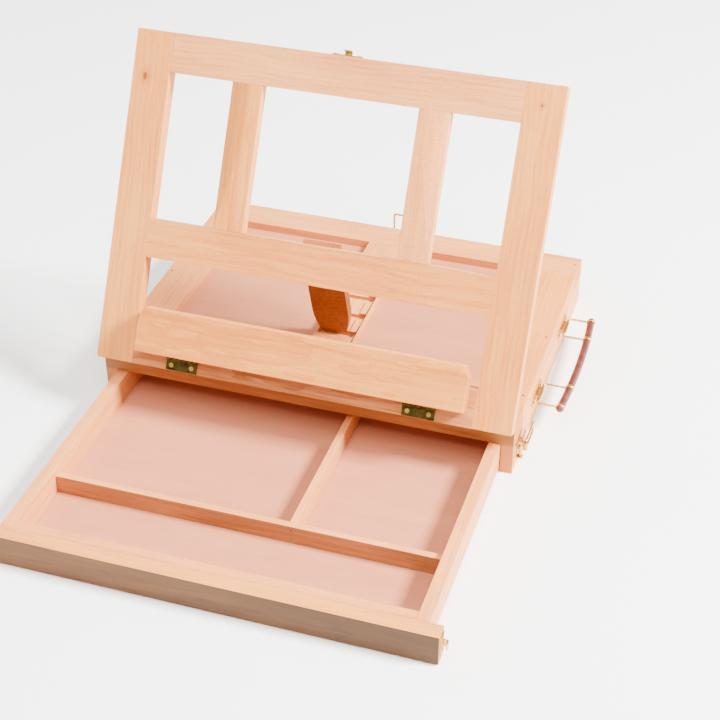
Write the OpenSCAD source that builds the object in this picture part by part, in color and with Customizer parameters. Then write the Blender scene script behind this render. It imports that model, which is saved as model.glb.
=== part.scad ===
// Table-top sketch-box easel in beech: a flat case with a drawer, a notched deck,
// a leaning frame with a canvas ledge and a prop strut, a carrying handle and two draw latches.
// Millimetres, +Z up, the front of the case faces -Y, the underside of the case is at Z = 0.

/* [Case] */
// Width of the case, the drawer front and the easel frame
case_w = 345; // [330:1:400]
// Depth of the case without the drawer front
case_d = 262; // [262:1:300]
// Thickness of the side and back walls
wall_t = 10; // [8:0.5:12]
// Thickness of the plywood base
base_t = 2.5; // [2:0.5:3]

/* [Deck] */
// Width of the two side rails of the deck
side_rail_w = 32; // [28:1:40]
// Width of the front and rear rails of the deck
end_rail_w = 30; // [26:1:36]
// Width of the notched centre stile
stile_w = 35; // [34:1:44]
// Depth of the panels below the rails
panel_drop = 7; // [3:0.5:8]
// Spacing of the strut notches
notch_pitch = 28; // [24:0.5:30]

/* [Frame] */
// Thickness of the frame members
frame_t = 13; // [12:0.5:16]
// Width of the stiles and rails of the frame
member_w = 31; // [28:0.5:32]
// Width of the two upright slats
slat_w = 25; // [20:1:32]
// Distance of each slat from the middle of the frame
slat_x = 75.5; // [60:0.5:90]
// Lean of the frame above the deck, in degrees
lean = 61.6; // [58:0.1:66]

/* [Ledge] */
// Length of the canvas ledge
ledge_w = 271; // [240:1:280]
// Height of the canvas ledge
ledge_h = 36; // [30:1:42]
// Thickness of the canvas ledge
ledge_t = 13; // [10:0.5:16]

/* [Strut] */
// Width of the strut at its hinge
strut_w = 31.3; // [26:0.1:33]
// Thickness of the strut
strut_t = 8.6; // [8:0.1:10]

/* [Drawer] */
// How far the drawer is pulled out
pull_out = 202; // [180:1:215]
// Thickness of the drawer front
front_t = 13; // [10:0.5:16]
// Thickness of the drawer sides
side_t = 9.5; // [8:0.5:12]
// Thickness of the two dividers
divider_t = 5.5; // [4:0.5:8]
// Length of the front compartment
tray_l = 60; // [50:1:90]

/* [Handle] */
// Length of the handle grip
grip_l = 131; // [110:1:150]
// Radius of the grip
grip_r = 3.1; // [2.8:0.1:4]

/* [Hidden] */
$fn = 48;
eps = 0.02;
half_w = case_w / 2;
y_front = -case_d / 2;
y_rear = case_d / 2;
rail_h = 16;
wall_h = 27;
deck_z = wall_h + rail_h;
panel_t = 3;
panel_tongue = 4;
panel_z = deck_z - panel_drop - panel_t;
inner_w = case_w - 2 * wall_t;
deck_y1 = y_front + end_rail_w;
deck_y2 = y_rear - end_rail_w;

// ratchet notches of the centre stile
notch_count = 5;
notch_rest_y = y_front + 89.5;
notch_l = 9;
notch_deep = 5;
notch_side = 2;

// shallow groove that the strut's foot follows as the frame folds
groove_w = 25.4;
groove_y1 = y_front + 91;
groove_y2 = y_front + 200;
groove_deep = 1.6;

// main hinge, frame measured from the hinge axis
pin_y = y_front - 0.4;
pin_z = deck_z + 0.4;
toe = 3;
frame_l = case_d + toe;
frame_end = frame_l - toe;
mid_y = 83.8;
slat_t = 10;

// hinge hardware
leaf_t = 1;
play = 0.05;
side_gap = 0.3;
main_hinge_x = 112;
main_hinge_l = 34;
main_hinge_r = 1.8;
main_leaf_w = 16;
ledge_hinge_x = 98.5;
ledge_hinge_l = 26;
ledge_hinge_r = 1.6;
ledge_leaf_w = 9.6;
strut_hinge_l = 26;
strut_hinge_r = 1.4;
strut_leaf_w = 13;
hinge_pin_r = 0.8;

// canvas ledge, in frame axes
ledge_pin_y = 7.2;
ledge_pin_z = frame_t + 1.9;
ledge_y = 9.4;
ledge_z = frame_t + 0.6;
ledge_chamfer_x = 4;
ledge_chamfer_y = 9;

// strut, from its hinge pin down to the foot
strut_x = -2.8;
strut_pin = 113.5;
strut_inset = 1.5;
strut_gap = 2.6;
strut_pin_y = pin_y + strut_pin * cos(lean) - strut_inset * sin(lean);
strut_pin_z = pin_z + strut_pin * sin(lean) + strut_inset * cos(lean);
foot_y = y_front + 84.8;
foot_z = deck_z + 1;
strut_l = sqrt(pow(foot_y - strut_pin_y, 2) + pow(strut_pin_z - foot_z, 2));
strut_drop = atan2(strut_pin_z - foot_z, foot_y - strut_pin_y);
foot_w = 23.2;

// drawer
drawer_gap = 0.5;
drawer_bottom_z = base_t + 0.4;
drawer_top_z = wall_h - 0.5;
drawer_w = inner_w - 2 * drawer_gap;
drawer_l = 244;
drawer_ply = 2.2;
drawer_front_z = 1;
inner_front_t = 8;
drawer_back_t = 8;
divider_z = drawer_top_z - 5.5;
floor_z = drawer_bottom_z + drawer_ply;
bed_y = y_front - pull_out;
cross_y = bed_y + inner_front_t + tray_l;
long_x = 207.5 - half_w;
drawer_in_w = drawer_w - 2 * side_t;

// handle
loop_y = 50;
loop_w = 27.5;
wire_r = 0.9;
handle_x = half_w + 3.6;
handle_z = 22;
grip_x = handle_x + 19.2;
grip_rise = 3;
grip_arc_r = (pow(grip_l / 2, 2) + pow(grip_rise, 2)) / (2 * grip_rise);
bracket_w = 13;
bracket_half = 12.5;
bracket_r = 4.5;

// draw latches, in their own axes: x across, y along the pull, z away from the face
latch_pin_z = 3.2;
latch_pin_y = 2;
latch_loop_y = -3;
latch_loop_z = 6;
latch_wire_r = 0.9;
latch_loop_half = 4.7;
latch_boss_r = 1.9;
side_latch_y = y_front + 15;
side_latch_z = 16;
rear_latch_z = 29;

beech = [0.90, 0.74, 0.56];
beech_deep = [0.78, 0.55, 0.34];
plywood = [0.86, 0.68, 0.56];
brass = [0.78, 0.62, 0.28];
leatherette = [0.40, 0.14, 0.10];
steel = [0.55, 0.50, 0.45];

// box from its low corner to its high corner
module block(a, b) {
  translate(a)
    cube([b[0] - a[0], b[1] - a[1], b[2] - a[2]]);
}

// cylinder along X from x1 to x2
module rod_x(x1, x2, r) {
  translate([x1, 0, 0])
    rotate([0, 90, 0])
      cylinder(r = r, h = x2 - x1);
}

// cylinder along Y from y1 to y2
module rod_y(y1, y2, r) {
  translate([0, y1, 0])
    rotate([-90, 0, 0])
      cylinder(r = r, h = y2 - y1);
}

module mirror_x() {
  children();
  mirror([1, 0, 0])
    children();
}

// axes of the leaning frame: Y up along the frame, Z towards the front face
module frame_axes() {
  translate([0, pin_y, pin_z])
    rotate([lean, 0, 0])
      children();
}

// axes of the lowered strut: Y from the pin down to the foot, Z towards its rear face
module strut_axes() {
  translate([strut_x, strut_pin_y, strut_pin_z])
    rotate([-strut_drop, 0, 0])
      children();
}

// ---- hinges; the pin lies on the X axis and the leaf runs towards +Y ----

// leaf with the two outer knuckles and the pin
module outer_leaf(l, w, r, low) {
  third = l / 6;
  difference() {
    block([-l / 2, 0.3, low], [l / 2, w, low + leaf_t]);
    block([-third - side_gap, -1, low - 1], [third + side_gap, r + 0.5, low + leaf_t + 1]);
  }
  rod_x(-l / 2, -third - side_gap, r);
  rod_x(third + side_gap, l / 2, r);
  rod_x(-l / 2, l / 2, hinge_pin_r);
}

// leaf with the single middle knuckle, bored for the pin; the leaf's shoulders start at gap
module middle_leaf(l, w, r, low, gap) {
  third = l / 6;
  difference() {
    union() {
      block([-l / 2, gap, low], [l / 2, w, low + leaf_t]);
      block([-third, 0.3, low], [third, gap + 0.1, low + leaf_t]);
      rod_x(-third, third, r);
    }
    rod_x(-l, l, hinge_pin_r + play);
  }
}

// room for a hinge: the knuckle plus the housed leaf
module hinge_room(l, w, r, low) {
  rod_x(-l / 2 - 0.4, l / 2 + 0.4, r + 0.5);
  block([-l / 2 - 0.2, 0, low], [l / 2 + 0.2, w + 0.2, low + leaf_t]);
}

module at_main_hinges() {
  for (s = [-1, 1])
    translate([s * main_hinge_x, 0, 0])
      children();
}

// ---- case ----

module side_wall(s) {
  color(beech)
    block([s > 0 ? half_w - wall_t : -half_w, y_front, 0],
          [s > 0 ? half_w : -half_w + wall_t, y_rear, wall_h]);
}

module case_left_wall() {
  side_wall(-1);
}

module case_right_wall() {
  side_wall(1);
}

module case_back_wall() {
  color(beech)
    block([-inner_w / 2, y_rear - wall_t, 0], [inner_w / 2, y_rear, wall_h]);
}

module case_base() {
  color(plywood)
    block([-inner_w / 2, y_front + 1, 0], [inner_w / 2, y_rear - wall_t, base_t]);
}

// ---- deck ----

module deck_end_rail(y1) {
  block([-half_w, y1, wall_h], [half_w, y1 + end_rail_w, deck_z]);
}

// one deck panel with the tongues that stand in the rail grooves
module panel_body(s, grow) {
  x1 = stile_w / 2 - panel_tongue - grow;
  x2 = half_w - side_rail_w + panel_tongue + grow;
  block([s > 0 ? x1 : -x2, deck_y1 - panel_tongue - grow, panel_z - grow],
        [s > 0 ? x2 : -x1, deck_y2 + panel_tongue + grow, panel_z + panel_t + grow]);
}

module deck_front_rail() {
  color(beech)
    difference() {
      deck_end_rail(y_front);
      panel_body(-1, 0);
      panel_body(1, 0);
      translate([0, pin_y, pin_z])
        at_main_hinges()
          hinge_room(main_hinge_l, main_leaf_w, main_hinge_r, -0.4 - leaf_t);
    }
}

module deck_rear_rail() {
  color(beech)
    difference() {
      deck_end_rail(deck_y2);
      panel_body(-1, 0);
      panel_body(1, 0);
    }
}

module deck_side_rail(s) {
  color(beech)
    difference() {
      block([s > 0 ? half_w - side_rail_w : -half_w, deck_y1, wall_h],
            [s > 0 ? half_w : -half_w + side_rail_w, deck_y2, deck_z]);
      panel_body(s, 0);
    }
}

module deck_left_rail() {
  deck_side_rail(-1);
}

module deck_right_rail() {
  deck_side_rail(1);
}

// a ratchet notch: a ramp down to a wall that faces the front
module notch() {
  w = stile_w - 2 * notch_side;
  translate([-w / 2, 0, deck_z])
    rotate([90, 0, 90])
      linear_extrude(height = w)
        polygon([[-notch_l, 1], [-notch_l, 0], [-1.5, -notch_deep], [0, -notch_deep], [0, 1]]);
}

module deck_centre_stile() {
  color(beech)
    difference() {
      block([-stile_w / 2, deck_y1, wall_h], [stile_w / 2, deck_y2, deck_z]);
      panel_body(-1, 0);
      panel_body(1, 0);
      block([strut_x - groove_w / 2, groove_y1, deck_z - groove_deep],
            [strut_x + groove_w / 2, groove_y2, deck_z + 1]);
      for (i = [-1 : notch_count - 2])
        translate([0, notch_rest_y + i * notch_pitch, 0])
          notch();
    }
}

module deck_panel(s) {
  color(plywood)
    panel_body(s, 0);
}

module deck_left_panel() {
  deck_panel(-1);
}

module deck_right_panel() {
  deck_panel(1);
}

// nail heads along the two side rails
module deck_nails() {
  color(steel)
    for (s = [-1, 1])
      for (y = [y_front + 46, y_front + 131, y_rear - 12])
        translate([s * (half_w - 4), y, deck_z])
          cylinder(r = 0.9, h = 0.25);
}

// ---- main hinge ----

module main_hinge_case_leaves() {
  color(brass)
    translate([0, pin_y, pin_z])
      at_main_hinges()
        outer_leaf(main_hinge_l, main_leaf_w, main_hinge_r, -0.4 - leaf_t);
}

module main_hinge_frame_leaves() {
  color(brass)
    frame_axes()
      at_main_hinges()
        middle_leaf(main_hinge_l, main_leaf_w, main_hinge_r, 0, main_hinge_r + 0.5);
}

// ---- handle ----

// plate with rounded ends and the knuckle that holds a loop's pivot bar
module bracket(y) {
  color(brass)
    translate([0, y, 0])
      difference() {
        union() {
          block([half_w, -bracket_half, handle_z - bracket_r],
                [half_w + 1, bracket_half, handle_z + bracket_r]);
          for (s = [-1, 1])
            translate([half_w, s * bracket_half, handle_z])
              rotate([0, 90, 0])
                cylinder(r = bracket_r, h = 1);
          block([half_w, -bracket_w / 2, handle_z - 2], [handle_x, bracket_w / 2, handle_z + 2]);
          translate([handle_x, 0, handle_z])
            rod_y(-bracket_w / 2, bracket_w / 2, 2);
        }
        translate([handle_x, 0, handle_z])
          rod_y(-bracket_w, bracket_w, wire_r + play);
      }
}

module handle_bracket_front() {
  bracket(-loop_y);
}

module handle_bracket_rear() {
  bracket(loop_y);
}

// slotted round screw head lying in the XY plane
module screw_head(r, h) {
  difference() {
    cylinder(r = r, h = h);
    translate([-r, -0.25, h - 0.3])
      cube([2 * r, 0.5, 1]);
  }
}

module handle_bracket_screws() {
  color(brass)
    for (y = [-loop_y, loop_y])
      for (s = [-1, 1])
        translate([half_w + 1, y + s * bracket_half, handle_z])
          rotate([0, 90, 0])
            screw_head(2.4, 0.8);
}

// closed rectangular loop of bent wire in the XY plane, from the low corner to the high corner
module bent_wire(a, b, r, bend) {
  mid = (a + b) / 2;
  half = (b - a) / 2;
  translate([mid[0], mid[1], 0]) {
    for (s = [-1, 1]) {
      translate([0, s * half[1], 0])
        rod_x(-half[0] + bend, half[0] - bend, r);
      translate([s * half[0], 0, 0])
        rod_y(-half[1] + bend, half[1] - bend, r);
    }
    for (i = [0 : 3])
      translate([(i == 0 || i == 3 ? 1 : -1) * (half[0] - bend), (i < 2 ? 1 : -1) * (half[1] - bend), 0])
        rotate([0, 0, 90 * i])
          rotate_extrude(angle = 90)
            translate([bend, 0])
              circle(r = r);
  }
}

// pivot bar, two side wires and the bar held by the grip
module wire_loop(y, r) {
  translate([0, y, handle_z])
    bent_wire([handle_x, -loop_w / 2], [grip_x + 1, loop_w / 2], r, 3);
}

module handle_loop_front() {
  color(brass)
    wire_loop(-loop_y, wire_r);
}

module handle_loop_rear() {
  color(brass)
    wire_loop(loop_y, wire_r);
}

// the grip bows gently outwards between the two loops
module handle_grip() {
  sweep = 2 * asin(grip_l / 2 / grip_arc_r);
  color(leatherette)
    difference() {
      translate([grip_x + grip_rise - grip_arc_r, 0, handle_z])
        rotate([0, 0, -sweep / 2])
          rotate_extrude(angle = sweep)
            translate([grip_arc_r, 0])
              circle(r = grip_r);
      wire_loop(-loop_y, wire_r + eps);
      wire_loop(loop_y, wire_r + eps);
    }
}

// ---- draw latches ----

module latch_base() {
  color(brass) {
    block([-9, -13, 0], [9, 13, 1]);
    mirror_x()
      block([7, latch_pin_y - 2.4, 0], [8, latch_pin_y + 2.4, latch_pin_z + 1.8]);
    translate([0, latch_pin_y, latch_pin_z])
      rod_x(-8, 8, 0.9);
    for (s = [-1, 1])
      translate([0, s * 10.2, 1])
        screw_head(1.6, 0.6);
  }
}

module latch_lever() {
  color(brass)
    difference() {
      union() {
        translate([0, latch_pin_y, latch_pin_z])
          rod_x(-3.4, 3.4, 1.7);
        block([-3.4, latch_loop_y - 1, latch_pin_z - 0.8], [3.4, latch_pin_y, latch_pin_z + 0.4]);
        block([-6, -15, latch_pin_z - 0.8], [6, latch_loop_y - 0.6, latch_pin_z + 0.4]);
        block([-3.4, latch_loop_y - 1.6, latch_pin_z], [3.4, latch_loop_y + 1.6, latch_loop_z]);
        translate([0, latch_loop_y, latch_loop_z])
          rod_x(-3.4, 3.4, latch_boss_r);
      }
      translate([0, latch_pin_y, latch_pin_z])
        rod_x(-9, 9, 0.9 + play);
      translate([0, latch_loop_y, latch_loop_z])
        rod_x(-9, 9, latch_wire_r + play);
    }
}

// wire loop from y1 to y2 along the latch, one of them zero at its pivot bar
module latch_loop(y1, y2) {
  color(brass)
    translate([0, latch_loop_y, latch_loop_z])
      bent_wire([-latch_loop_half, y1], [latch_loop_half, y2], latch_wire_r, 1.3);
}

// hook that a latch loop drops over, on a plate of the given half length; the lip points along +Y
module latch_hook(half) {
  color(brass) {
    block([-half, -3.5, 0], [half, 3.5, 1]);
    block([-3, -1.5, 0.5], [3, -0.5, 4.8]);
    block([-3, -1.5, 3.8], [3, 3, 4.8]);
    mirror_x()
      translate([half - 2.4, 0, 1])
        screw_head(1.6, 0.5);
  }
}

// face axes of the side latch: X down, Y to the front, Z to the right
module side_latch_axes() {
  translate([half_w, side_latch_y, side_latch_z])
    rotate([0, 90, 0])
      rotate([0, 0, 180])
        children();
}

// face axes of the rear latch: Y up, Z to the rear
module rear_latch_axes() {
  translate([0, y_rear, rear_latch_z])
    rotate([90, 0, 180])
      children();
}

module side_latch_base() {
  side_latch_axes()
    latch_base();
}

module side_latch_lever() {
  side_latch_axes()
    latch_lever();
}

module side_latch_loop() {
  side_latch_axes()
    latch_loop(-26, 0);
}

module rear_latch_base() {
  rear_latch_axes()
    latch_base();
}

module rear_latch_lever() {
  rear_latch_axes()
    latch_lever();
}

module rear_latch_loop() {
  rear_latch_axes()
    latch_loop(0, 28);
}

// ---- drawer ----

module drawer_front() {
  color(beech_deep)
    block([-half_w, bed_y - front_t, drawer_front_z], [half_w, bed_y, drawer_top_z]);
}

module drawer_inner_front() {
  color(beech)
    block([-drawer_in_w / 2, bed_y, drawer_bottom_z],
          [drawer_in_w / 2, bed_y + inner_front_t, drawer_top_z]);
}

module drawer_side(s) {
  x1 = drawer_in_w / 2;
  x2 = drawer_w / 2;
  color(beech)
    block([s > 0 ? x1 : -x2, bed_y, drawer_bottom_z],
          [s > 0 ? x2 : -x1, bed_y + drawer_l, drawer_top_z]);
}

module drawer_left_side() {
  drawer_side(-1);
}

module drawer_right_side() {
  drawer_side(1);
}

module drawer_back() {
  color(beech)
    block([-drawer_in_w / 2, bed_y + drawer_l - drawer_back_t, drawer_bottom_z],
          [drawer_in_w / 2, bed_y + drawer_l, drawer_top_z]);
}

module drawer_floor() {
  color(plywood)
    block([-drawer_in_w / 2, bed_y + inner_front_t, drawer_bottom_z],
          [drawer_in_w / 2, bed_y + drawer_l - drawer_back_t, floor_z]);
}

module drawer_cross_divider() {
  color(beech_deep)
    block([-drawer_in_w / 2, cross_y, floor_z], [drawer_in_w / 2, cross_y + divider_t, divider_z]);
}

module drawer_long_divider() {
  color(beech)
    block([long_x, cross_y + divider_t, floor_z],
          [long_x + divider_t, bed_y + drawer_l - drawer_back_t, divider_z]);
}

// two nail heads where the dividers meet
module divider_nails() {
  color(steel)
    for (z = [floor_z + 4.5, divider_z - 4])
      translate([long_x + divider_t / 2, cross_y, z])
        rotate([90, 0, 0])
          cylinder(r = 0.9, h = 0.25);
}

module drawer_hook() {
  translate([half_w, bed_y - front_t / 2, side_latch_z])
    rotate([0, 90, 0])
      rotate([0, 0, 180])
        latch_hook(8);
}

// ---- frame ----

module frame_stile(s) {
  color(beech)
    frame_axes()
      block([s > 0 ? half_w - member_w : -half_w, -toe, 0],
            [s > 0 ? half_w : -half_w + member_w, frame_end, frame_t]);
}

module frame_left_stile() {
  frame_stile(-1);
}

module frame_right_stile() {
  frame_stile(1);
}

module frame_rail(y) {
  block([-half_w + member_w, y, 0], [half_w - member_w, y + member_w, frame_t]);
}

module frame_top_rail() {
  color(beech)
    frame_axes()
      frame_rail(frame_end - member_w);
}

module frame_mid_rail() {
  color(beech)
    frame_axes()
      difference() {
        frame_rail(mid_y);
        translate([strut_x, strut_pin, strut_inset])
          mirror([0, 1, 0])
            hinge_room(strut_hinge_l, strut_leaf_w, strut_hinge_r + 0.5, -strut_inset);
      }
}

module frame_bottom_rail() {
  color(beech)
    frame_axes()
      difference() {
        frame_rail(-toe);
        at_main_hinges()
          hinge_room(main_hinge_l, main_leaf_w, main_hinge_r, 0);
      }
}

module frame_slat(s) {
  color(beech)
    frame_axes()
      block([s * slat_x - slat_w / 2, mid_y + member_w, frame_t - slat_t],
            [s * slat_x + slat_w / 2, frame_end - member_w, frame_t]);
}

module frame_left_slat() {
  frame_slat(-1);
}

module frame_right_slat() {
  frame_slat(1);
}

module frame_hook() {
  frame_axes()
    translate([0, frame_end, frame_t / 2])
      rotate([90, 0, 180])
        latch_hook(12);
}

// ---- canvas ledge ----

module at_ledge_hinges() {
  frame_axes()
    for (s = [-1, 1])
      translate([s * ledge_hinge_x, ledge_pin_y, ledge_pin_z])
        children();
}

module ledge_hinge_frame_leaves() {
  color(brass)
    at_ledge_hinges()
      mirror([0, 1, 0])
        outer_leaf(ledge_hinge_l, ledge_leaf_w, ledge_hinge_r, frame_t - ledge_pin_z);
}

module ledge_hinge_screws() {
  color(brass)
    at_ledge_hinges()
      for (s = [-1, 1])
        translate([s * 8.6, -5.6, frame_t - ledge_pin_z + leaf_t])
          rotate([0, 0, 35 * s])
            screw_head(1.9, 0.6);
}

module ledge_hinge_board_leaves() {
  color(brass)
    at_ledge_hinges()
      middle_leaf(ledge_hinge_l, 12, ledge_hinge_r, ledge_z - ledge_pin_z, ledge_hinge_r + 0.5);
}

module ledge_board() {
  color(beech)
    difference() {
      frame_axes()
        translate([0, ledge_y, ledge_z])
          linear_extrude(height = ledge_t)
            polygon([[-ledge_w / 2, 0], [ledge_w / 2, 0],
                     [ledge_w / 2, ledge_h - ledge_chamfer_y],
                     [ledge_w / 2 - ledge_chamfer_x, ledge_h],
                     [-ledge_w / 2 + ledge_chamfer_x, ledge_h],
                     [-ledge_w / 2, ledge_h - ledge_chamfer_y]]);
      at_ledge_hinges()
        hinge_room(ledge_hinge_l, 12, ledge_hinge_r, ledge_z - ledge_pin_z);
    }
}

// ---- strut ----

module strut_board() {
  color(beech_deep)
    strut_axes()
      difference() {
        linear_extrude(height = strut_t)
          polygon([[-strut_w / 2, strut_gap], [strut_w / 2, strut_gap],
                   [strut_w / 2, strut_l - 24], [strut_w / 2 - 0.3, strut_l - 17],
                   [strut_w / 2 - 2, strut_l - 8], [foot_w / 2, strut_l],
                   [-foot_w / 2, strut_l], [-strut_w / 2 + 2, strut_l - 8],
                   [-strut_w / 2 + 0.3, strut_l - 17], [-strut_w / 2, strut_l - 24]]);
        hinge_room(strut_hinge_l, strut_leaf_w, strut_hinge_r, 0);
      }
}

module strut_hinge_frame_leaf() {
  color(brass)
    frame_axes()
      translate([strut_x, strut_pin, strut_inset])
        mirror([0, 1, 0])
          outer_leaf(strut_hinge_l, strut_leaf_w, strut_hinge_r, -strut_inset);
}

module strut_hinge_strut_leaf() {
  color(brass)
    strut_axes()
      middle_leaf(strut_hinge_l, strut_leaf_w, strut_hinge_r, 0, strut_hinge_r + 1);
}

case_left_wall();
case_right_wall();
case_back_wall();
case_base();
deck_front_rail();
deck_rear_rail();
deck_left_rail();
deck_right_rail();
deck_centre_stile();
deck_left_panel();
deck_right_panel();
deck_nails();
main_hinge_case_leaves();
main_hinge_frame_leaves();
handle_bracket_front();
handle_bracket_rear();
handle_bracket_screws();
handle_loop_front();
handle_loop_rear();
handle_grip();
side_latch_base();
side_latch_lever();
side_latch_loop();
rear_latch_base();
rear_latch_lever();
rear_latch_loop();
drawer_front();
drawer_inner_front();
drawer_left_side();
drawer_right_side();
drawer_back();
drawer_floor();
drawer_cross_divider();
drawer_long_divider();
divider_nails();
drawer_hook();
frame_left_stile();
frame_right_stile();
frame_top_rail();
frame_mid_rail();
frame_bottom_rail();
frame_left_slat();
frame_right_slat();
frame_hook();
ledge_hinge_frame_leaves();
ledge_hinge_screws();
ledge_hinge_board_leaves();
ledge_board();
strut_board();
strut_hinge_frame_leaf();
strut_hinge_strut_leaf();
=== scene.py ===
import math
import bpy
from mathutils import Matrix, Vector


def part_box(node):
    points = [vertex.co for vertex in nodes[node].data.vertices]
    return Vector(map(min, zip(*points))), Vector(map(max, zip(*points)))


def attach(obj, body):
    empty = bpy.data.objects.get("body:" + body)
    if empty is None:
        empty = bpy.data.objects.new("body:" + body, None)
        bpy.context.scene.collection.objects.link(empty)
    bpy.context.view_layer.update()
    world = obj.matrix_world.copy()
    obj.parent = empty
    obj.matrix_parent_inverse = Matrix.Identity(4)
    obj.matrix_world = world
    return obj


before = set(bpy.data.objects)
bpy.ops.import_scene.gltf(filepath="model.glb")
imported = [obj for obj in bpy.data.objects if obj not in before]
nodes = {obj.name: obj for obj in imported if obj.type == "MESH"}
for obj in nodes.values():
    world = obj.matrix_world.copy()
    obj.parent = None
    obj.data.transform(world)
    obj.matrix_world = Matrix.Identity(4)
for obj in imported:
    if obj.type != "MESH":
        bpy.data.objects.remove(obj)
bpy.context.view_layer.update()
MM = 0.001
LEAN = math.radians(61.6)
UP = Vector((0, math.cos(LEAN), math.sin(LEAN)))
OUT = Vector((0, -math.sin(LEAN), math.cos(LEAN)))
X, Y, Z = Vector((1, 0, 0)), Vector((0, 1, 0)), Vector((0, 0, 1))


# ---------------------------------------------------------------- shader helpers
def lin(r, g, b):
    """Scene-linear colour of an 8-bit display colour."""
    def one(c):
        c /= 255
        return c / 12.92 if c <= 0.04045 else ((c + 0.055) / 1.055) ** 2.4
    return (one(r), one(g), one(b), 1.0)


class Shader:
    def __init__(self, name):
        self.mat = bpy.data.materials.new(name)
        self.mat.use_nodes = True
        self.tree = self.mat.node_tree
        self.tree.nodes.clear()
        self.out = self.add("ShaderNodeOutputMaterial")
        self.bsdf = self.add("ShaderNodeBsdfPrincipled")
        self.link(self.bsdf.outputs[0], self.out.inputs["Surface"])

    def add(self, kind, **props):
        n = self.tree.nodes.new(kind)
        for k, v in props.items():
            setattr(n, k, v)
        return n

    def link(self, a, b):
        self.tree.links.new(a, b)

    def put(self, value, socket):
        if isinstance(value, bpy.types.NodeSocket):
            self.link(value, socket)
        else:
            socket.default_value = value

    def math(self, op, a, b=0.0, c=0.0, clamp=False):
        n = self.add("ShaderNodeMath", operation=op, use_clamp=clamp)
        for value, socket in zip((a, b, c), n.inputs):
            self.put(value, socket)
        return n.outputs[0]

    def vec(self, op, a, b=(0, 0, 0), scale=None):
        n = self.add("ShaderNodeVectorMath", operation=op)
        self.put(a, n.inputs[0])
        self.put(b, n.inputs[1])
        if scale is not None:
            self.put(scale, n.inputs["Scale"])
        return n.outputs["Value"] if op in ("DOT_PRODUCT", "LENGTH", "DISTANCE") else n.outputs[0]

    def xyz(self, x, y, z):
        n = self.add("ShaderNodeCombineXYZ")
        for value, socket in zip((x, y, z), n.inputs):
            self.put(value, socket)
        return n.outputs[0]

    def noise(self, v, scale=1.0, detail=2.0, rough=0.5):
        n = self.add("ShaderNodeTexNoise")
        self.put(v, n.inputs["Vector"])
        n.inputs["Scale"].default_value = scale
        n.inputs["Detail"].default_value = detail
        n.inputs["Roughness"].default_value = rough
        n.inputs["Distortion"].default_value = 0.0
        return n.outputs[0]

    def cells(self, v, feature="F1"):
        n = self.add("ShaderNodeTexVoronoi", feature=feature)
        self.put(v, n.inputs["Vector"])
        n.inputs["Scale"].default_value = 1.0
        return n

    def steps(self, fac, low, high, a=0.0, b=1.0):
        n = self.add("ShaderNodeMapRange", interpolation_type="SMOOTHSTEP")
        self.put(fac, n.inputs["Value"])
        for key, value in (("From Min", low), ("From Max", high), ("To Min", a), ("To Max", b)):
            n.inputs[key].default_value = value
        return n.outputs[0]

    def mix(self, fac, a, b):
        n = self.add("ShaderNodeMix", data_type="RGBA")
        self.put(fac, n.inputs["Factor"])
        self.put(a, n.inputs[6])
        self.put(b, n.inputs[7])
        return n.outputs[2]

    def scaled(self, value, factor):
        return self.math("MULTIPLY", value, factor)

    def swing(self, value, middle, factor):
        """How far value lies from its middle, times factor."""
        return self.scaled(self.math("SUBTRACT", value, middle), factor)

    def stretch(self, u, v, w, along, across, deep):
        """Coordinates scaled separately along the fibres, across the face and into the board."""
        return self.xyz(self.scaled(u, along), self.scaled(v, across), self.scaled(w, deep))

    def bump(self, height, strength, distance):
        n = self.add("ShaderNodeBump")
        n.inputs["Strength"].default_value = strength
        n.inputs["Distance"].default_value = distance
        self.put(height, n.inputs["Height"])
        self.link(n.outputs[0], self.bsdf.inputs["Normal"])

    def set(self, **values):
        for key, value in values.items():
            self.put(value, self.bsdf.inputs[key.replace("_", " ")])


# ---------------------------------------------------------------- wood
def darker(colour, red, green, blue):
    return (colour[0] * red, colour[1] * green, colour[2] * blue, 1.0)


def grain_axes(s, grain, face, shift):
    """Object coordinates in mm: u along the fibres, v across the wide face, w through the board."""
    tex = s.add("ShaderNodeTexCoord")
    here = tex.outputs["Object"]
    u = s.math("ADD", s.vec("DOT_PRODUCT", here, tuple(grain * 1000)), shift)
    v = s.vec("DOT_PRODUCT", here, tuple(grain.cross(face) * 1000))
    w = s.vec("DOT_PRODUCT", here, tuple(face * 1000))
    return tex, here, u, v, w


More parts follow.
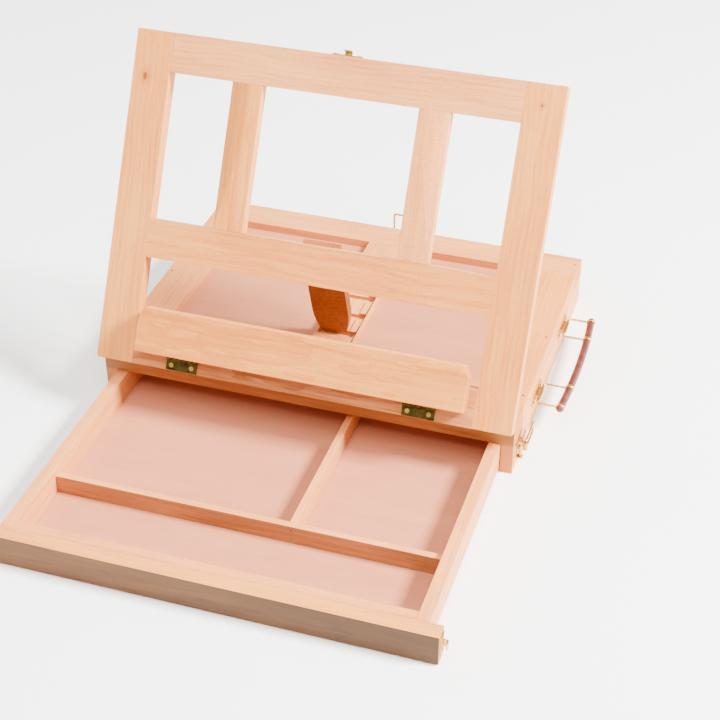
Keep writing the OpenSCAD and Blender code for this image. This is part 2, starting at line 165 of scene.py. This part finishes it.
def beech(name, grain, face, light, deep, seed, marks, front, knot):
    """Solid beech. grain runs along the fibres, face is the normal of the wide face.

    marks gives the weights of flecks, rings, fibres and blotches, front below 1 paints shade on the face
    towards the user, and knot gives a place along the board, one across it and a radius, in mm.
    """
    fleck, rings, fibre, blotch = marks
    s = Shader(name)
    tex, here, u, v, w = grain_axes(s, grain, face, 37.0 * seed)
    # slow wander of the fibres
    sway = s.noise(s.xyz(s.scaled(u, 0.011), s.scaled(v, 0.02), seed * 1.7), detail=1.0)
    v2 = s.math("ADD", v, s.swing(sway, 0.5, 9.0))
    # growth rings round a pith that lies outside the board and drifts along it
    a = s.math("ADD", s.math("ADD", v2, -30 + 23 * math.sin(seed * 2.3)), s.scaled(u, 0.03))
    b = s.math("ADD", w, 46 + 14 * math.sin(seed))
    r = s.math("SQRT", s.math("ADD", s.math("MULTIPLY", a, a), s.math("MULTIPLY", b, b)))
    ripple = s.noise(s.xyz(s.scaled(u, 0.02), s.scaled(v, 0.08), w), detail=2.0)
    r = s.math("ADD", r, s.scaled(ripple, 5.0))
    ring = s.math("POWER", s.math("FRACT", s.scaled(r, 0.31)), 2.4)
    # fibres: two sizes of streak, and slow clouds
    fine = s.noise(s.stretch(u, v2, w, 0.05, 1.9, 1.9), detail=3.0, rough=0.6)
    broad = s.noise(s.stretch(u, v2, w, 0.016, 0.33, 0.33), detail=3.0, rough=0.55)
    cloud = s.noise(s.stretch(u, v2, w, 0.009, 0.035, 0.05), detail=2.0)
    tone = s.math("ADD", s.swing(broad, 0.5, 2.3 * fibre), s.swing(fine, 0.5, 1.9 * fibre))
    tone = s.math("ADD", tone, s.swing(cloud, 0.5, 2.2 * blotch))
    tone = s.math("ADD", tone, s.swing(ring, 0.3, rings))
    tone = s.math("ADD", tone, 0.42, clamp=True)
    colour = s.mix(tone, light, deep)
    # ray flecks: short dark dashes along the fibres
    cell = s.cells(s.stretch(u, v2, w, 0.30, 1.15, 1.15))
    dash = s.steps(cell.outputs["Distance"], 0.16, 0.30, 1.0, 0.0)
    pick = s.add("ShaderNodeSeparateColor")
    s.link(cell.outputs["Color"], pick.inputs[0])
    dash = s.math("MULTIPLY", dash, s.steps(pick.outputs[0], 0.35, 0.75))
    colour = s.mix(s.scaled(dash, 0.25 + 0.75 * fleck), colour, darker(deep, 0.62, 0.48, 0.42))
    # end grain drinks more finish and shows darker
    end = s.math("ABSOLUTE", s.vec("DOT_PRODUCT", tex.outputs["Normal"], tuple(grain)))
    end = s.steps(end, 0.75, 0.95)
    pores = s.steps(s.noise(s.stretch(u, v, w, 0.2, 2.6, 2.6), detail=2.0), 0.3, 0.7)
    end_colour = s.mix(pores, darker(deep, 0.80, 0.80, 0.80), darker(deep, 0.52, 0.52, 0.52))
    colour = s.mix(s.scaled(end, 0.62), colour, end_colour)
    if front < 1.0:
        # stand-in for shade: the face towards the user is painted darker, a little more so to the right
        away = s.vec("DOT_PRODUCT", tex.outputs["Normal"], (0, 1, 0))
        facing = s.steps(s.scaled(away, -1.0), 0.5, 0.9)
        shade_to_right = s.steps(s.vec("DOT_PRODUCT", here, (1, 0, 0)), -0.17, 0.17, 0.88, 1.0)
        low = front * 0.62
        shaded = s.mix(tone, darker(light, front, front, front), darker(deep, low, low, low))
        colour = s.mix(s.math("MULTIPLY", facing, shade_to_right), colour, shaded)
    if knot:
        du = s.math("SUBTRACT", s.vec("DOT_PRODUCT", here, tuple(grain * 1000)), knot[0])
        dv = s.math("SUBTRACT", v, knot[1])
        d = s.math("ADD", s.scaled(s.math("MULTIPLY", du, du), 0.35), s.math("MULTIPLY", dv, dv))
        d = s.math("ADD", s.math("SQRT", d), s.swing(fine, 0.5, 1.6))
        halo = s.steps(d, knot[2], knot[2] * 3.2, 0.45, 0.0)
        colour = s.mix(halo, colour, darker(deep, 0.8, 0.62, 0.5))
        heart = s.steps(d, knot[2] * 0.5, knot[2] * 1.1, 0.85, 0.0)
        colour = s.mix(heart, colour, darker(deep, 0.35, 0.2, 0.14))
    rough = s.math("ADD", s.scaled(fine, 0.22), s.scaled(end, 0.18))
    s.set(Base_Color=colour, Roughness=s.math("ADD", rough, 0.42), Coat_Weight=0.04, Coat_Roughness=0.4)
    s.set(Specular_IOR_Level=0.22)
    s.bump(s.math("SUBTRACT", fine, s.scaled(dash, 0.6)), 0.22, 0.0002)
    return s.mat


def plywood(name, grain, face, light, deep, seed):
    """Thin rotary-cut plywood: pale veneer with short pores, and plies on the edges."""
    s = Shader(name)
    tex, _, u, v, w = grain_axes(s, grain, face, 51.0 * seed)
    waves = s.noise(s.xyz(s.scaled(u, 0.006), s.scaled(v, 0.03), seed), detail=3.0, rough=0.6)
    streak = s.noise(s.xyz(s.scaled(u, 0.035), s.scaled(v, 0.9), seed), detail=4.0, rough=0.65)
    pores = s.noise(s.xyz(s.scaled(u, 0.22), s.scaled(v, 3.2), seed), detail=2.0)
    tone = s.math("ADD", s.scaled(waves, 0.75), s.scaled(streak, 0.55))
    tone = s.math("SUBTRACT", tone, 0.22, clamp=True)
    colour = s.mix(tone, light, deep)
    pit = s.steps(pores, 0.62, 0.74)
    colour = s.mix(s.scaled(pit, 0.55), colour, darker(deep, 0.55, 0.55, 0.55))
    flat = s.math("ABSOLUTE", s.vec("DOT_PRODUCT", tex.outputs["Normal"], tuple(face)))
    edge = s.math("SUBTRACT", 1.0, s.steps(flat, 0.3, 0.8))
    ply = s.steps(s.math("PINGPONG", w, 0.8), 0.3, 0.5)
    colour = s.mix(edge, colour, s.mix(ply, light, darker(deep, 0.6, 0.6, 0.6)))
    s.set(Base_Color=colour, Roughness=s.math("ADD", s.scaled(streak, 0.3), 0.42))
    s.set(Specular_IOR_Level=0.18)
    s.bump(s.math("SUBTRACT", streak, pit), 0.15, 0.00015)
    return s.mat


# ---------------------------------------------------------------- metal and leatherette
def metal(name, colour, dull, rough):
    s = Shader(name)
    tex = s.add("ShaderNodeTexCoord")
    p = s.vec("SCALE", tex.outputs["Object"], scale=1000.0)
    cloud = s.noise(p, 0.35, 3.0, 0.6)
    grit = s.noise(p, 3.0, 3.0, 0.7)
    colour = s.mix(s.steps(cloud, 0.35, 0.75), colour, dull)
    s.set(Base_Color=colour, Metallic=1.0, Roughness=s.math("ADD", s.scaled(grit, 0.22), rough - 0.08))
    s.bump(grit, 0.08, 0.0001)
    return s.mat


def leatherette():
    s = Shader("leatherette_skin")
    tex = s.add("ShaderNodeTexCoord")
    p = s.vec("SCALE", tex.outputs["Object"], scale=1000.0)
    pebbles = s.cells(s.vec("MULTIPLY", p, (1.5, 1.1, 1.5)), "DISTANCE_TO_EDGE")
    crease = s.steps(pebbles.outputs["Distance"], 0.0, 0.16)
    cloud = s.noise(p, 0.12, 3.0, 0.6)
    colour = s.mix(s.steps(cloud, 0.3, 0.7), lin(112, 34, 22), lin(70, 18, 12))
    # painted shade: the creases between the pebbles are darkened
    colour = s.mix(s.scaled(s.math("SUBTRACT", 1.0, crease), 0.5), colour, lin(50, 12, 10))
    s.set(Base_Color=colour, Roughness=s.math("ADD", s.scaled(cloud, 0.2), 0.32), Coat_Weight=0.15)
    s.bump(crease, 0.35, 0.0003)
    return s.mat


def floor_paper():
    s = Shader("floor_paper")
    tex = s.add("ShaderNodeTexCoord")
    cloud = s.noise(tex.outputs["Object"], 3.0, 3.0, 0.6)
    s.set(Base_Color=s.mix(cloud, (0.93, 0.93, 0.93, 1), (0.96, 0.96, 0.96, 1)), Roughness=0.9)
    s.set(Specular_IOR_Level=0.1)
    return s.mat


# scene-linear wood tones
CREAM = (0.72, 0.285, 0.060, 1.0)
PALE = (0.74, 0.30, 0.095, 1.0)
HONEY = (0.56, 0.165, 0.022, 1.0)
ROSE = (0.52, 0.170, 0.045, 1.0)
# painted shade: the next two tones are darker beech, given to the strut for the shade it sits in
SHADED_AMBER = (0.36, 0.115, 0.022, 1.0)
SHADED_BROWN = (0.22, 0.070, 0.016, 1.0)
STRAW = (0.76, 0.30, 0.050, 1.0)

# node: grain, face, light tone, deep tone, weights of flecks, rings, fibres and blotches
WOOD = {
    "case_left_wall": (Y, X, PALE, ROSE, (0.4, 0.3, 0.5, 0.5)),
    "case_right_wall": (Y, X, PALE, ROSE, (0.4, 0.3, 0.5, 0.5)),
    "case_back_wall": (X, Y, PALE, ROSE, (0.4, 0.3, 0.5, 0.5)),
    "deck_front_rail": (X, Z, CREAM, HONEY, (0.4, 0.3, 0.5, 0.5)),
    "deck_rear_rail": (X, Z, PALE, ROSE, (0.4, 0.3, 0.5, 0.6)),
    "deck_left_rail": (Y, Z, PALE, ROSE, (0.4, 0.3, 0.5, 0.5)),
    "deck_right_rail": (Y, Z, CREAM, HONEY, (0.3, 0.3, 0.5, 0.6)),
    "deck_centre_stile": (Y, Z, PALE, ROSE, (0.4, 0.3, 0.5, 0.5)),
    "drawer_front": (X, Y, CREAM, ROSE, (0.5, 0.3, 0.5, 0.6)),
    "drawer_inner_front": (X, Y, PALE, ROSE, (0.4, 0.3, 0.5, 0.5)),
    "drawer_left_side": (Y, X, PALE, ROSE, (0.3, 0.3, 0.5, 0.5)),
    "drawer_right_side": (Y, X, PALE, ROSE, (0.4, 0.3, 0.5, 0.5)),
    "drawer_back": (X, Y, PALE, ROSE, (0.4, 0.3, 0.5, 0.5)),
    "drawer_cross_divider": (X, Y, PALE, ROSE, (0.6, 0.3, 0.6, 0.5)),
    "drawer_long_divider": (Y, X, PALE, ROSE, (0.4, 0.3, 0.5, 0.5)),
    "frame_left_stile": (UP, OUT, CREAM, HONEY, (0.35, 0.4, 0.5, 0.7)),
    "frame_right_stile": (UP, OUT, CREAM, HONEY, (0.45, 0.4, 0.6, 0.6)),
    "frame_top_rail": (X, OUT, PALE, ROSE, (0.5, 0.3, 0.6, 0.5)),
    "frame_mid_rail": (X, OUT, CREAM, HONEY, (0.5, 0.3, 0.7, 0.6)),
    "frame_bottom_rail": (X, OUT, PALE, HONEY, (0.5, 0.4, 0.7, 0.6)),
    "frame_left_slat": (UP, OUT, CREAM, HONEY, (0.4, 0.4, 0.7, 0.6)),
    "frame_right_slat": (UP, OUT, PALE, ROSE, (1.0, 0.2, 0.4, 0.4)),
    "ledge_board": (X, OUT, STRAW, HONEY, (0.45, 0.4, 0.6, 0.5)),
    # painted shade: the strut takes the darker tones for the shade it sits in
    "strut_board": (UP, OUT, SHADED_AMBER, SHADED_BROWN, (0.6, 0.4, 0.7, 0.5)),
}
# how dark the painted shade on the face towards the user is
FRONT_SHADE = {
    "drawer_front": 0.12,
    "deck_front_rail": 0.5,
    "drawer_cross_divider": 0.62,
    "frame_bottom_rail": 0.8,
}
# distance below the board's top, distance in from its outer edge, and radius, in mm
KNOTS = {"frame_left_stile": (42, 11, 2.2), "frame_right_stile": (22, 17, 1.1)}
PLYWOOD = ("case_base", "deck_left_panel", "deck_right_panel", "drawer_floor")
PLY_LIGHT = (0.58, 0.23, 0.12, 1.0)
PLY_DEEP = (0.36, 0.115, 0.055, 1.0)


def dress(node, mat):
    node.data.materials.clear()
    node.data.materials.append(mat)


def soften(node):
    """Slightly rounded arrises."""
    weld = node.modifiers.new("weld", "WELD")
    weld.merge_threshold = 1e-5
    bevel = node.modifiers.new("edges", "BEVEL")
    bevel.width = 0.5 * MM
    bevel.segments = 2
    bevel.limit_method = "ANGLE"
    bevel.angle_limit = math.radians(35)
    bevel.harden_normals = True


def knot_place(name, grain, face):
    """Place of a stile's knot along and across the board, and its radius, in mm."""
    below, inside, radius = KNOTS[name]
    low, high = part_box(name)
    top = Vector((0, high.y, high.z)).dot(UP) * 1000
    x = low.x + inside * MM if "left" in name else high.x - inside * MM
    return top - below, grain.cross(face).x * x * 1000, radius


for index, (name, (grain, face, light, deep, marks)) in enumerate(WOOD.items()):
    knot = knot_place(name, grain, face) if name in KNOTS else None
    front = FRONT_SHADE.get(name, 1.0)
    dress(nodes[name], beech("beech_" + name, grain, face, light, deep, index + 1.0, marks, front, knot))
    soften(nodes[name])
for index, name in enumerate(PLYWOOD):
    dress(nodes[name], plywood("ply_" + name, X, Z, PLY_LIGHT, PLY_DEEP, index + 31.0))

brass = metal("brass_plate", lin(226, 184, 96), lin(168, 128, 60), 0.28)
olive = metal("olive_brass", lin(92, 78, 36), lin(40, 34, 18), 0.42)
steel = metal("nail_steel", lin(150, 132, 116), lin(90, 76, 66), 0.45)
for name, o in nodes.items():
    if name in WOOD or name in PLYWOOD:
        continue
    if name == "handle_grip":
        dress(o, leatherette())
    elif "nails" in name:
        dress(o, steel)
    elif name in ("ledge_hinge_frame_leaves", "ledge_hinge_board_leaves"):
        dress(o, olive)
    else:
        dress(o, brass)



# ---------------------------------------------------------------- caps and rings of the handle grip
def lathe(name, profile, centre, axis, mat):
    """Revolved piece of the handle; the profile gives (distance along the axis, radius) in mm."""
    steps = 32
    axis = axis.normalized()
    side = axis.cross(Z).normalized()
    up = side.cross(axis)
    verts = []
    for along, radius in profile:
        for i in range(steps):
            t = 2 * math.pi * i / steps
            spoke = side * math.cos(t) + up * math.sin(t)
            verts.append(centre + axis * along * MM + spoke * radius * MM)
    faces = []
    for k in range(len(profile) - 1):
        for i in range(steps):
            j = (i + 1) % steps
            faces.append((k * steps + i, k * steps + j, (k + 1) * steps + j, (k + 1) * steps + i))
    faces.append(tuple(range(steps))[::-1])
    last = (len(profile) - 1) * steps
    faces.append(tuple(last + i for i in range(steps)))
    mesh = bpy.data.meshes.new(name)
    mesh.from_pydata(verts, [], faces)
    mesh.materials.append(mat)
    mesh.shade_smooth()
    piece = bpy.data.objects.new(name, mesh)
    bpy.context.scene.collection.objects.link(piece)
    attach(piece, "handle")


GRIP_R = 3.1 * MM
GRIP_RISE = 3.0 * MM
WIRE_R = 0.9 * MM
grip_low, grip_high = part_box("handle_grip")
grip_half = (grip_high.y - grip_low.y) / 2


def on_grip(y):
    """Point on the grip's bowed centre line and its direction there."""
    x = grip_high.x - GRIP_R - GRIP_RISE * (y / grip_half) ** 2
    slope = -2 * GRIP_RISE * y / grip_half ** 2
    return Vector((x, y, (grip_low.z + grip_high.z) / 2)), Vector((slope, 1, 0))


RING = [(-1.7, 3.12), (-1.6, 3.42), (-1.1, 3.62), (0.0, 3.68), (1.1, 3.62), (1.6, 3.42), (1.7, 3.12)]
for loop in ("handle_loop_front", "handle_loop_rear"):
    loop_low, loop_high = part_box(loop)
    for tag, y in (("a", loop_low.y + WIRE_R), ("b", loop_high.y - WIRE_R)):
        lathe("grip_ring_" + loop[12:] + "_" + tag, RING, *on_grip(y), brass)
DOME = [(0.0, 3.1), (0.6, 3.05), (1.2, 2.8), (1.7, 2.35), (2.1, 1.6), (2.3, 0.7)]
for tag, sign in (("front", -1), ("rear", 1)):
    place, along = on_grip(sign * (grip_half - 0.1 * MM))
    lathe("grip_cap_" + tag, DOME, place, along * sign, nodes["handle_grip"].data.materials[0])

# ---------------------------------------------------------------- stage, light and camera
floor = bpy.data.meshes.new("floor")
reach = 6.0
corners = [(-reach, -reach, 0), (reach, -reach, 0), (reach, reach, 0), (-reach, reach, 0)]
floor.from_pydata(corners, [], [(0, 1, 2, 3)])
floor_obj = bpy.data.objects.new("floor", floor)
floor_obj.location.z = -0.0002
bpy.context.scene.collection.objects.link(floor_obj)
floor.materials.append(floor_paper())


def area_light(name, place, aim, size, power, colour):
    light = bpy.data.lights.new(name, "AREA")
    light.shape = "SQUARE"
    light.size = size
    light.energy = power
    light.color = colour
    o = bpy.data.objects.new(name, light)
    o.location = place
    o.rotation_euler = (Vector(aim) - Vector(place)).to_track_quat("-Z", "Y").to_euler()
    bpy.context.scene.collection.objects.link(o)


centre = (0, -0.05, 0.08)
area_light("key", (2.1, 0.0, 1.9), centre, 0.6, 470, (1.0, 0.99, 0.97))
area_light("top_fill", (0.2, -1.3, 2.6), centre, 1.8, 135, (1.0, 0.98, 0.96))
area_light("left_fill", (-1.8, 0.2, 1.3), centre, 1.2, 30, (1.0, 0.95, 0.92))
world = bpy.data.worlds.new("studio")
bpy.context.scene.world = world
world.use_nodes = True
sky = world.node_tree.nodes["Background"]
sky.inputs["Color"].default_value = (1.0, 0.985, 0.97, 1)
sky.inputs["Strength"].default_value = 0.8

cam = bpy.data.objects.new("camera", bpy.data.cameras.new("camera"))
bpy.context.scene.collection.objects.link(cam)
cam.location = (0.3535, -1.0881, 0.7972)
cam.rotation_euler = (math.radians(54.704), math.radians(-0.04), math.radians(17.83))
cam.data.sensor_width = 36
cam.data.lens = 79.85
cam.data.shift_x = 0.0028
cam.data.shift_y = -0.0056
cam.data.dof.use_dof = False
bpy.context.scene.camera = cam
